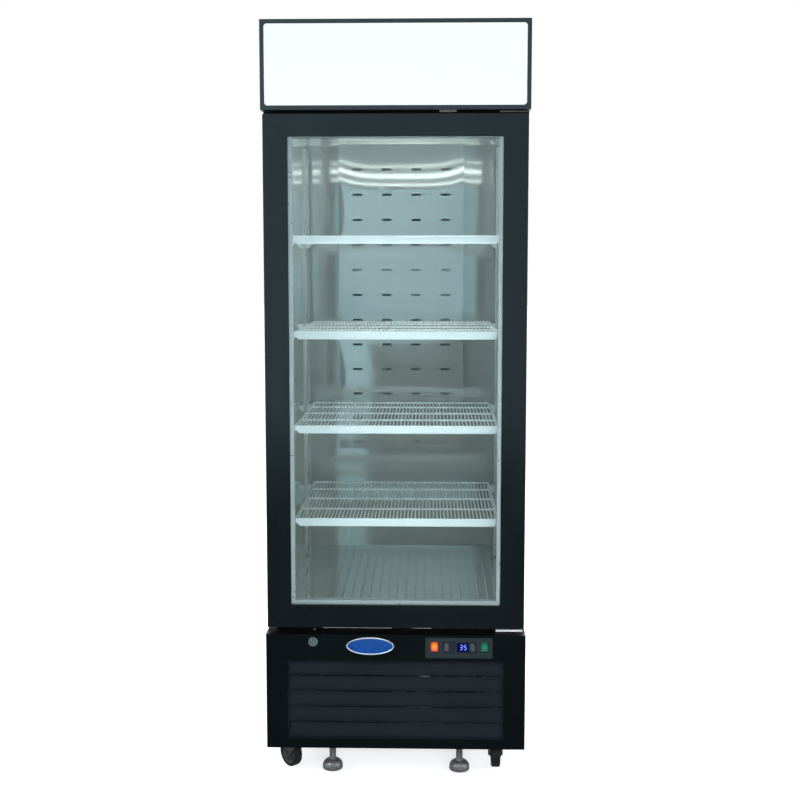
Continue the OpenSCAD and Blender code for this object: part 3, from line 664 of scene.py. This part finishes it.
def light_bars():
    """Opal lenses on thin channels: a pair above the door opening and two in the header."""
    low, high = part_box("led_strips")
    lens, channel = bmesh.new(), bmesh.new()
    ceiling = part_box("liner_panels")[1].z
    bar_half, header_half, cap = 285 * MM, high.x, 4 * MM
    top, base = ceiling - 2 * MM, ceiling - 39 * MM
    front = low.y + 9 * MM
    block(channel, (-bar_half, low.y, base), (bar_half, front, top))
    bar_r, header_r = 3 * MM, 8 * MM
    for z in (base + bar_r, top - bar_r):
        opal_lens(lens, bar_half - cap, front, z, bar_r, 1)
    tray, tray_half, pitch = 2 * MM, 9 * MM, 90 * MM
    for z in (high.z - tray_half - pitch, high.z - tray_half):
        opal_lens(lens, header_half - cap, high.y - tray, z, header_r, -1)
        block(channel, (-header_half, high.y - tray, z - tray_half),
              (header_half, high.y, z + tray_half))
    put("light_lenses", to_mesh("light_lenses", lens), "cabinet", "led", ("led_strips",), 50)
    add_bevel(put("light_channels", to_mesh("light_channels", channel), "cabinet",
                  "bracket_steel"), 0.3 * MM)


def shelf(name):
    """Round wires welded on cross rods, with a heavier rod down each side."""
    low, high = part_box(name)
    wire, rod, side = 1.5 * MM, 2.6 * MM, 2.9 * MM      # radii
    half = high.x - side
    wires, pitch = 27, 10 * MM
    rods = (3, 142, 283, 424, 535)      # mm behind the shelf's front edge
    bm = bmesh.new()
    z = high.z - wire
    rod_z = high.z - 2 * wire - 2.2 * MM
    y0, y1 = low.y + 1.2 * MM, high.y - 1.2 * MM
    for n in range(-wires, wires + 1):
        x = n * pitch
        tube(bm, [(x, y0, z - 2.2 * MM), (x, y0 + 0.8 * MM, z - 0.7 * MM), (x, y0 + 3 * MM, z),
                  (x, y1, z)], wire, 8)
    for behind in rods:
        y = low.y + behind * MM
        tube(bm, [(-half, y, rod_z), (half, y, rod_z)], rod, 10)
    for s in (-1, 1):
        x = s * (half - 0.2 * MM)
        tube(bm, [(x, low.y + 0.4 * MM, rod_z), (x, high.y - 0.4 * MM, rod_z)], side, 12)
    put(name + "_wires", to_mesh(name + "_wires", bm), "cabinet", "shelf_wire", (name,), 50)


def shelf_rails():
    """Ticket rail on each shelf's front: a channel whose ends are cut on the slant."""
    low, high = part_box("shelf_front_rails")
    bm = bmesh.new()
    rails, tall = 4, 22 * MM
    upright, slant = 5 * MM, 20 / 17      # each end drops upright, then leans in
    pitch = (high.z - low.z - tall) / (rails - 1)
    y0, y1 = low.y, high.y
    for i in range(rails):
        top = high.z - i * pitch
        base = top - tall
        profile = [(y1, top), (y0 + 0.7 * MM, top), (y0, top - 0.9 * MM), (y0, top - 3.2 * MM),
                   (y0 + 0.9 * MM, top - 3.8 * MM), (y0 + 0.9 * MM, base + 3.4 * MM),
                   (y0, base + 2.8 * MM), (y0, base + 0.8 * MM), (y0 + 0.7 * MM, base),
                   (y1, base)]

        def cut(z, top=top):
            return max(0.0, top - upright - z) * slant
        sweep_x(bm, profile, low.x, high.x, cut)
    put("shelf_rail_channels", to_mesh("shelf_rail_channels", bm), "cabinet", "rail_plastic",
        ("shelf_front_rails",), 30)


def liner_ribs():
    """Fore and aft ribs pressed up in the floor, and the folded joints of the liner."""
    low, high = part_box("liner_panels")
    sheet = 1.2 * MM
    inner, rear = high.x - sheet, high.y - sheet
    floor_z, ceiling = low.z + sheet, high.z - sheet
    ribs, pitch, rib_r, fold_r = 11, 25 * MM, 2.2 * MM, 4 * MM
    sink, fade = 0.6 * MM, 6 * MM      # a rib's ends fade into the floor
    front_end, rear_end = low.y + 30 * MM, high.y - 34 * MM
    bm = bmesh.new()
    for n in range(-ribs, ribs + 1):
        x = n * pitch
        path = [(x, front_end, floor_z - sink), (x, front_end + fade, floor_z),
                (x, rear_end - fade, floor_z), (x, rear_end, floor_z - sink)]
        tube(bm, path, rib_r, 10)
    for s in (-1, 1):
        tube(bm, [(s * inner, rear, floor_z), (s * inner, rear, ceiling)], fold_r, 12)
    put("liner_floor_ribs", to_mesh("liner_floor_ribs", bm), "cabinet", "liner", (), 50)


def door():
    refine("door_stiles", "door_frame", 1.6, 3)
    refine("door_rails", "door_frame", 1.6, 3)
    dress("glass_outer", "glass")
    dress("glass_inner", "glass")
    refine("glass_spacer", "spacer", 0.4)
    refine("torsion_closer", "bracket_steel", 0.5)
    low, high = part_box("door_gasket")
    y0, y1 = low.y, high.y
    mid = (y0 + y1) / 2
    profile = [(0.5 * MM, y0), (11.5 * MM, y0), (11.5 * MM, mid - 0.5 * MM), (9.6 * MM, mid),
               (12 * MM, mid + 0.7 * MM), (12 * MM, y1 - 0.4 * MM), (10.5 * MM, y1), (6.6 * MM, y1),
               (6 * MM, y1 - 0.5 * MM), (5.4 * MM, y1), (1.5 * MM, y1), (0, y1 - 0.4 * MM),
               (0, mid + 0.7 * MM), (2.4 * MM, mid), (0.5 * MM, mid - 0.5 * MM)]
    bm = bmesh.new()
    ring_sweep(bm, (low.x, low.z), (high.x, high.z), profile)
    put("gasket_bellows", to_mesh("gasket_bellows", bm), "door", "gasket", ("door_gasket",), 25)


def hardware():
    # painted shade: the top hinge bracket takes the dark caster steel, the bottom one the bright bracket
    # steel, so the top one reads dark in the shaded gap under the header
    refine("hinge_bracket_top", "caster_steel", 0.8)
    refine("hinge_bracket_bottom", "bracket_steel", 0.8)
    refine("door_switch_strap", "dull_steel", 0.3)
    refine("lock_body", "chrome", 0.5)
    refine("lock_plug", "chrome", 0.4)
    refine("lock_bolt", "dull_steel", 0.5)


def seven_segments(bm, x, z, height, digit, y):
    """One digit, a 3 or a 5, in slanted bars that face the front."""
    shown = {3: "abgcd", 5: "afgcd"}[digit]
    lean = 0.09
    w, t, g = height * 0.5, height * 0.13, height * 0.03
    bars = {"a": (0, height, 1), "d": (0, 0, 1), "g": (0, height / 2, 1),
            "f": (-w / 2, height * 0.75, 0), "b": (w / 2, height * 0.75, 0),
            "c": (w / 2, height * 0.25, 0)}
    for key in shown:
        bx, bz, flat = bars[key]
        hx, hz = (w / 2 - t / 2 - g, t / 2) if flat else (t / 2, height / 4 - t / 2 - g)
        for v in block(bm, (x + bx - hx, y, z + bz - hz), (x + bx + hx, y + 0.3 * MM, z + bz + hz)):
            v.co.x += (v.co.z - z) * lean


def controls():
    refine("control_bezel", "bezel_plastic", 0.8, 3)
    refine("light_switch", "switch_orange", 0.9, 3)
    refine("power_switch", "switch_green", 0.9, 3)
    refine("thermostat", "display", 0.6)
    refine("thermostat_key_left", "key_plastic", 0.6)
    refine("thermostat_key_right", "key_plastic", 0.6)
    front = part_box("thermostat")[0].y
    right, half_w, half_h = 9 * MM, 15 * MM, 12 * MM      # the window, right of the middle
    tall, half_pitch = 13 * MM, 5.5 * MM                  # its digits
    centre = middle("thermostat")
    x, z = centre.x + right, centre.z
    bm = bmesh.new()
    block(bm, (x - half_w, front, z - half_h), (x + half_w, front + 0.5 * MM, z + half_h))
    window = put("display_window", to_mesh("display_window", bm), "cabinet", "window")
    add_bevel(window, 0.15 * MM)
    bm = bmesh.new()
    for digit, side in ((3, -1), (5, 1)):
        seven_segments(bm, x + side * half_pitch, z - tall / 2, tall, digit, front - 0.25 * MM)
    put("display_digits", to_mesh("display_digits", bm), "cabinet", "digit")


def badge():
    """Blank oval plate with a domed face inside a raised rim."""
    low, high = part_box("badge_blank")
    centre = middle("badge_blank")
    half_w, half_h = (high.x - low.x) / 2, (high.z - low.z) / 2
    back, front = high.y, low.y
    steps = 96
    angles = [2 * math.pi * k / steps for k in range(steps)]
    rim = [(1.0, back), (1.0, front + 0.8 * MM), (0.985, front + 0.2 * MM),
           (0.955, front + 0.1 * MM), (0.925, front + 0.5 * MM), (0.915, front + 1.0 * MM)]
    dome = [(0.915, front + 1.0 * MM), (0.85, front + 0.75 * MM), (0.6, front + 0.45 * MM),
            (0.3, front + 0.25 * MM)]

    def build(name, loops, mat, replaced=()):
        """Closed piece from ovals, each a share of the whole and a depth."""
        bm = bmesh.new()
        made = []
        for share, y in loops:
            inset = (1 - share) * half_h * 1.6
            made.append([bm.verts.new((centre.x + (half_w - inset) * math.cos(a), y,
                                       centre.z + (half_h - inset) * math.sin(a)))
                         for a in angles])
        for one, two in zip(made, made[1:]):
            for k in range(steps):
                n = (k + 1) % steps
                bm.faces.new((one[k], one[n], two[n], two[k]))
        bm.faces.new(made[-1])
        bm.faces.new(made[0][::-1])
        put(name, to_mesh(name, bm), "cabinet", mat, replaced, 40)

    build("badge_rim", rim, "badge_rim", ("badge_blank",))
    build("badge_face", dome, "badge")


def coil(node, tubes):
    """Fin pack: thin fins between two end plates, with return bends."""
    low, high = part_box(node)
    bm = bmesh.new()
    fins, half_fin = 90, 0.4 * MM
    plate, inset = 2 * MM, 2 * MM
    bend, bend_steps = 7 * MM, 8
    left, body_right = low.x, high.x - 8 * MM
    for k in range(fins):
        x = left + plate + (body_right - left - 2 * plate) * (k + 0.5) / fins
        block(bm, (x - half_fin, low.y + inset, low.z + inset),
              (x + half_fin, high.y - inset, high.z - inset))
    put(node + "_fins", to_mesh(node + "_fins", bm), "cabinet", "fins", (node,))
    bm = bmesh.new()
    for x in (left, body_right - plate):
        block(bm, (x, low.y, low.z), (x + plate, high.y, high.z))
    ends = put(node + "_end_plates", to_mesh(node + "_end_plates", bm), "cabinet", "galvanised")
    add_bevel(ends, 0.4 * MM)
    bm = bmesh.new()
    step = (high.z - low.z - 2 * inset) / tubes
    y = (low.y + high.y) / 2
    for i in range(tubes):
        z = low.z + inset + (i + 0.5) * step
        r = step / 4
        path = [(body_right, y, z - r)]
        for k in range(1, bend_steps):
            a = math.pi * k / bend_steps
            path.append((body_right + math.sin(a) * bend, y, z - r * math.cos(a)))
        path.append((body_right, y, z + r))
        tube(bm, path, 2.4 * MM if step > 20 * MM else 2.0 * MM, 8)
    put(node + "_bends", to_mesh(node + "_bends", bm), "cabinet", "copper", (), 50)


def fan(node, hub, blades, body):
    """Moulded fan: a domed hub with twisted, swept blades."""
    low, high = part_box(node)
    centre = middle(node)
    radius = (high.z - low.z) / 2 - 0.5 * MM
    depth, wall, blade_t = high.y - low.y, 2 * MM, 1.4 * MM
    root, arc, sweep = hub * 0.96, 0.95, 0.16      # arc and sweep in radians
    outs, alongs = 7, 6                            # a blade's cells outwards and round the hub
    bm = bmesh.new()
    turn = Matrix.Translation((centre.x, low.y, centre.z)) @ Matrix.Rotation(-math.pi / 2, 4, "X")
    lathe(bm, [(0, 0.1 * depth), (hub * 0.6, 0.1 * depth), (hub * 0.9, 0.18 * depth),
               (hub, 0.35 * depth), (hub, 0.95 * depth), (hub - wall, 0.95 * depth),
               (hub - wall, 0.5 * depth), (0, 0.5 * depth)], 48, turn)

    def blade_point(base, out, along):
        """A point of a blade by its shares outwards and along: wider, swept and flatter outwards."""
        r = root + (radius - root) * out
        a = base + (along - 0.5) * arc * (0.75 + 0.35 * out) + sweep * out
        height = depth * (0.22 + 0.62 * along * (1 - 0.25 * out))
        return Vector((r * math.cos(a), r * math.sin(a), height))

    edge = ([(i, 0) for i in range(outs)] + [(outs, k) for k in range(alongs)]
            + [(i, alongs) for i in range(outs, 0, -1)] + [(0, k) for k in range(alongs, 0, -1)])
    for b in range(blades):
        base = 2 * math.pi * b / blades
        lower, upper = [[[bm.verts.new(turn @ (blade_point(base, i / outs, k / alongs)
                                               + Vector((0, 0, lift))))
                          for k in range(alongs + 1)] for i in range(outs + 1)]
                        for lift in (0, blade_t)]
        for side, flip in ((lower, False), (upper, True)):
            for i in range(outs):
                for k in range(alongs):
                    corners = (side[i][k], side[i + 1][k], side[i + 1][k + 1], side[i][k + 1])
                    bm.faces.new(corners[::-1] if flip else corners)
        for (i, k), (j, m) in zip(edge, edge[1:] + edge[:1]):
            bm.faces.new((lower[i][k], upper[i][k], upper[j][m], lower[j][m]))
    put(node + "_moulding", to_mesh(node + "_moulding", bm), body, "dark_plastic", (node,), 40)


def machinery():
    refine("fan_motors", "dark_plastic", 0.8)
    refine("drain_pan", "dark_plastic", 1.0)
    coil("evaporator_coil", 10)
    coil("condenser_coil", 8)
    fan("evaporator_fan_blade", 18 * MM, 5, "evaporator_fan")
    fan("condenser_fan_blade", 26 * MM, 5, "condenser_fan")
    compressor()


def compressor():
    """Welded shell on a base plate with four rubber mounts, and a terminal box on its left."""
    low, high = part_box("compressor")
    r, corner = 78 * MM, 16 * MM
    shoulder, dome_h = 130 * MM, 44 * MM
    plate_x, plate_y = 84 * MM, 72 * MM
    mount_x, mount_y, mount_h = 70 * MM, 60 * MM, 16 * MM
    x, y, z = high.x - plate_x, middle("compressor").y, low.z
    bm = bmesh.new()
    base = [(0, 0), (r - corner, 0)]
    base += [(r - corner * (1 - math.sin(a)), corner * (1 - math.cos(a)))
             for a in [math.pi / 2 * k / 8 for k in range(1, 9)]]
    weld = [(r, 84 * MM), (r + 5 * MM, 86 * MM), (r + 5 * MM, 92 * MM), (r, 94 * MM)]
    dome = [(r * math.cos(a), shoulder + dome_h * math.sin(a))
            for a in [math.pi / 2 * k / 14 for k in range(14)]]
    lathe(bm, base + weld + dome + [(0, shoulder + dome_h)], 72,
          Matrix.Translation((x, y, z + 19 * MM)))
    for dx in (-mount_x, mount_x):
        for dy in (-mount_y, mount_y):
            lathe(bm, [(0, 0), (10 * MM, 0), (11 * MM, 3 * MM), (8 * MM, 5 * MM), (8 * MM, 8 * MM),
                       (11 * MM, 10 * MM), (10 * MM, mount_h), (0, mount_h)], 24,
                  Matrix.Translation((x + dx, y + dy, z)))
    block(bm, (x - plate_x, y - plate_y, z + mount_h),
          (x + plate_x, y + plate_y, z + mount_h + 2.6 * MM))
    block(bm, (x - r - 28 * MM, y - 25 * MM, z + 62 * MM),
          (x - r + 6 * MM, y + 25 * MM, z + 122 * MM))
    shell = put("compressor_shell", to_mesh("compressor_shell", bm), "cabinet", "compressor_paint",
                ("compressor",), 40)
    add_bevel(shell, 1.2 * MM, 2, 60)


def wheel(node, body, axis):
    """Moulded hub with spokes inside a rounded tread."""
    r, w = 37.5 * MM, 12 * MM      # outer radius and half the width
    corner = 4 * MM
    tilt = Vector((0, 0, 1)).rotation_difference(Vector(axis)).to_matrix().to_4x4()
    turn = Matrix.Translation(middle(node)) @ tilt
    bm = bmesh.new()
    tread = [(r - 9 * MM, -w + 2 * MM), (r - 8 * MM, -w), (r - corner, -w)]
    tread += [(r - corner + corner * math.sin(a), -w + corner * (1 - math.cos(a)))
              for a in [math.pi / 2 * k / 6 for k in range(1, 7)]]
    tread += [(x, -z) for x, z in reversed(tread)]
    lathe(bm, tread + tread[:1], 72, turn)
    put(node + "_tread", to_mesh(node + "_tread", bm), body, "wheel_rubber", (node,), 40)
    bm = bmesh.new()
    bore = 4.06 * MM
    spoke_t, spoke_h = 2.8 * MM, 3.2 * MM
    hub = [(bore, -w), (9 * MM, -w), (11 * MM, -w + 1.5 * MM), (12 * MM, -w + 5.5 * MM),
           (r - 13 * MM, -w + 6 * MM), (r - 11 * MM, -w + 3 * MM), (r - 8.8 * MM, -w + 2.4 * MM)]
    hub += [(x, -z) for x, z in reversed(hub)]
    lathe(bm, hub + hub[:1], 64, turn)
    for side in (-1, 1):
        for k in range(6):
            spin = turn @ Matrix.Rotation(math.pi * k / 3, 4, "Z")
            for v in block(bm, (10 * MM, -spoke_t / 2, 0), (r - 10.5 * MM, spoke_t / 2, spoke_h)):
                v.co = spin @ Vector((v.co.x, v.co.y, side * (w - 6.6 * MM + v.co.z)))
    put(node + "_hub", to_mesh(node + "_hub", bm), body, "wheel_hub", (), 35)


def hexagon(bm, matrix, across, height):
    """A hexagon head with a chamfered top."""
    r = across / math.sqrt(3)
    angles = [math.pi * k / 3 for k in range(6)]
    rings = [[bm.verts.new(matrix @ Vector((radius * math.cos(a), radius * math.sin(a), z)))
              for a in angles]
             for radius, z in ((r, 0), (r, height * 0.75), (r * 0.86, height))]
    for one, two in zip(rings, rings[1:]):
        for k in range(6):
            n = (k + 1) % 6
            bm.faces.new((one[k], one[n], two[n], two[k]))
    bm.faces.new(rings[0][::-1])
    bm.faces.new(rings[-1])


def running_gear():
    """Two swivel casters in front, the left one turned aside, two fixed ones behind, two feet."""
    angle = math.radians(42)
    turned = (math.cos(angle), math.sin(angle), 0)
    straight = (1, 0, 0)
    wheel("wheel_front_left", "wheel_front_left", turned)
    wheel("wheel_front_right", "wheel_front_right", straight)
    wheel("wheel_rear_left", "wheel_rear_left", straight)
    wheel("wheel_rear_right", "wheel_rear_right", straight)
    for node in ("caster_plates", "caster_fork_left", "caster_fork_right", "rear_caster_brackets"):
        refine(node, "caster_steel", 0.6)
    caster_bolts()
    for side in ("left", "right"):
        levelling_foot(side)


def caster_bolts():
    """Four hexagon heads under each caster's plate."""
    half_plate, plate_t = 45 * MM, 6 * MM
    reach_x, reach_y = 35 * MM, 26 * MM
    bm = bmesh.new()
    for node in ("caster_plates", "rear_caster_brackets"):
        y, high = middle(node).y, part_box(node)[1]
        under = high.z - plate_t
        for side in (-1, 1):
            x = side * (high.x - half_plate)
            for dx in (-reach_x, reach_x):
                for dy in (-reach_y, reach_y):
                    place = Matrix.Translation((x + dx, y + dy, under))
                    hexagon(bm, place @ Matrix.Rotation(math.pi, 4, "X"), 10 * MM, 4 * MM)
    put("caster_bolts", to_mesh("caster_bolts", bm), "cabinet", "screw", (), 30)


def levelling_foot(side):
    """Threaded stem, its ridges a full turn each, on a domed pad. The profile is in mm."""
    node = "levelling_foot_" + side
    centre, bottom = middle(node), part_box(node)[0].z
    stem, pad, brim, dome = 9, 27, 8.5, 17      # two radii, then the pad's heights
    root, crest = stem - 0.9, stem - 0.1
    pitch, thread_end, length = 1.75, 91, 94
    profile = [(0, 0), (24.5, 0), (26.6, 1), (pad, 2.5), (pad, brim)]
    profile += [(stem + 1 + (pad - stem - 1) * math.cos(a), brim + dome * math.sin(a))
                for a in [math.pi / 2 * k / 12 for k in range(1, 12)]]
    profile += [(stem + 0.6, 26), (crest, 27)]
    z = 30
    while z < thread_end:
        profile += [(root, z), (crest, z + 0.75), (crest, z + 1)]
        z += pitch
    profile += [(stem - 1, length - 0.5), (0, length)]
    bm = bmesh.new()
    lathe(bm, [(radius * MM, height * MM) for radius, height in profile], 48,
          Matrix.Translation((centre.x, centre.y, bottom)))
    put(node + "_turned", to_mesh(node + "_turned", bm), "foot_" + side, "foot_metal", (node,), 50)


def screws():
    """Pan heads with a cross recess: four on the base's front, six on the rear grille."""
    base_low, base_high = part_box("base_front_panel")
    grille_low, grille_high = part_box("rear_grille")
    base_x, base_zs = base_high.x - 10 * MM, (base_low.z + 6 * MM, base_high.z - 8 * MM)
    rear_x, rear_zs = grille_high.x - 12 * MM, (grille_low.z + 14 * MM, grille_high.z - 6 * MM)
    front = [(x, base_low.y, z) for x in (-base_x, base_x) for z in base_zs]
    rear = [(x, grille_high.y, z) for x in (-rear_x, 0, rear_x) for z in rear_zs]
    r, recess, sink = 3.1 * MM, 1.4 * MM, 2 * MM
    for places, face, name, mat, replaced in (
            (front, 1, "base_screw_heads", "base_steel", ()),
            (rear, -1, "rear_screw_heads", "screw", ("panel_screws",))):
        bm = bmesh.new()
        for place in places:
            turn = Matrix.Translation(place) @ Matrix.Rotation(face * math.pi / 2, 4, "X")
            lathe(bm, [(0, -sink), (recess, -sink), (recess, 0), (r, 0), (r, 0.5 * MM),
                       (r * 0.86, 1.1 * MM), (r * 0.5, 1.4 * MM), (0, 1.4 * MM)], 32, turn)
            for k in range(2):
                spin = turn @ Matrix.Rotation(k * math.pi / 2, 4, "Z")
                for v in block(bm, (-1.7 * MM, -0.28 * MM, 1.3 * MM), (1.7 * MM, 0.28 * MM, 1.45 * MM)):
                    v.co = spin @ v.co
        put(name, to_mesh(name, bm), "cabinet", mat, replaced, 30)


def floor():
    """Plain pale floor, not part of the object. The camera sees it a little brighter."""
    camera_glow = 0.62
    bm = bmesh.new()
    bmesh.ops.create_grid(bm, x_segments=2, y_segments=2, size=30)
    mesh = to_mesh("floor", bm)
    mat = node_material("floor", (0.86, 0.87, 0.88), 0.6, spread=0.01, blotch=1.0)
    glow(mat, (1, 1, 1), 0.0, 0.0)
    tree = mat.node_tree
    path = tree.nodes.new("ShaderNodeLightPath")
    lift = tree.nodes.new("ShaderNodeMath")
    lift.operation = "MULTIPLY"
    lift.inputs[1].default_value = camera_glow
    tree.links.new(path.outputs["Is Camera Ray"], lift.inputs[0])
    tree.links.new(lift.outputs["Value"], tree.nodes["Principled BSDF"].inputs["Emission Strength"])
    mesh.materials.append(mat)
    plane = bpy.data.objects.new("floor", mesh)
    bpy.context.scene.collection.objects.link(plane)
    plane.visible_glossy = False


cabinet()
rear_panel()
louvers()
light_bars()
for number in (1, 2, 3, 4):
    shelf("shelf_%d" % number)
shelf_rails()
liner_ribs()
door()
hardware()
controls()
badge()
machinery()
running_gear()
screws()
floor()
bpy.context.scene.view_settings.view_transform = "Standard"
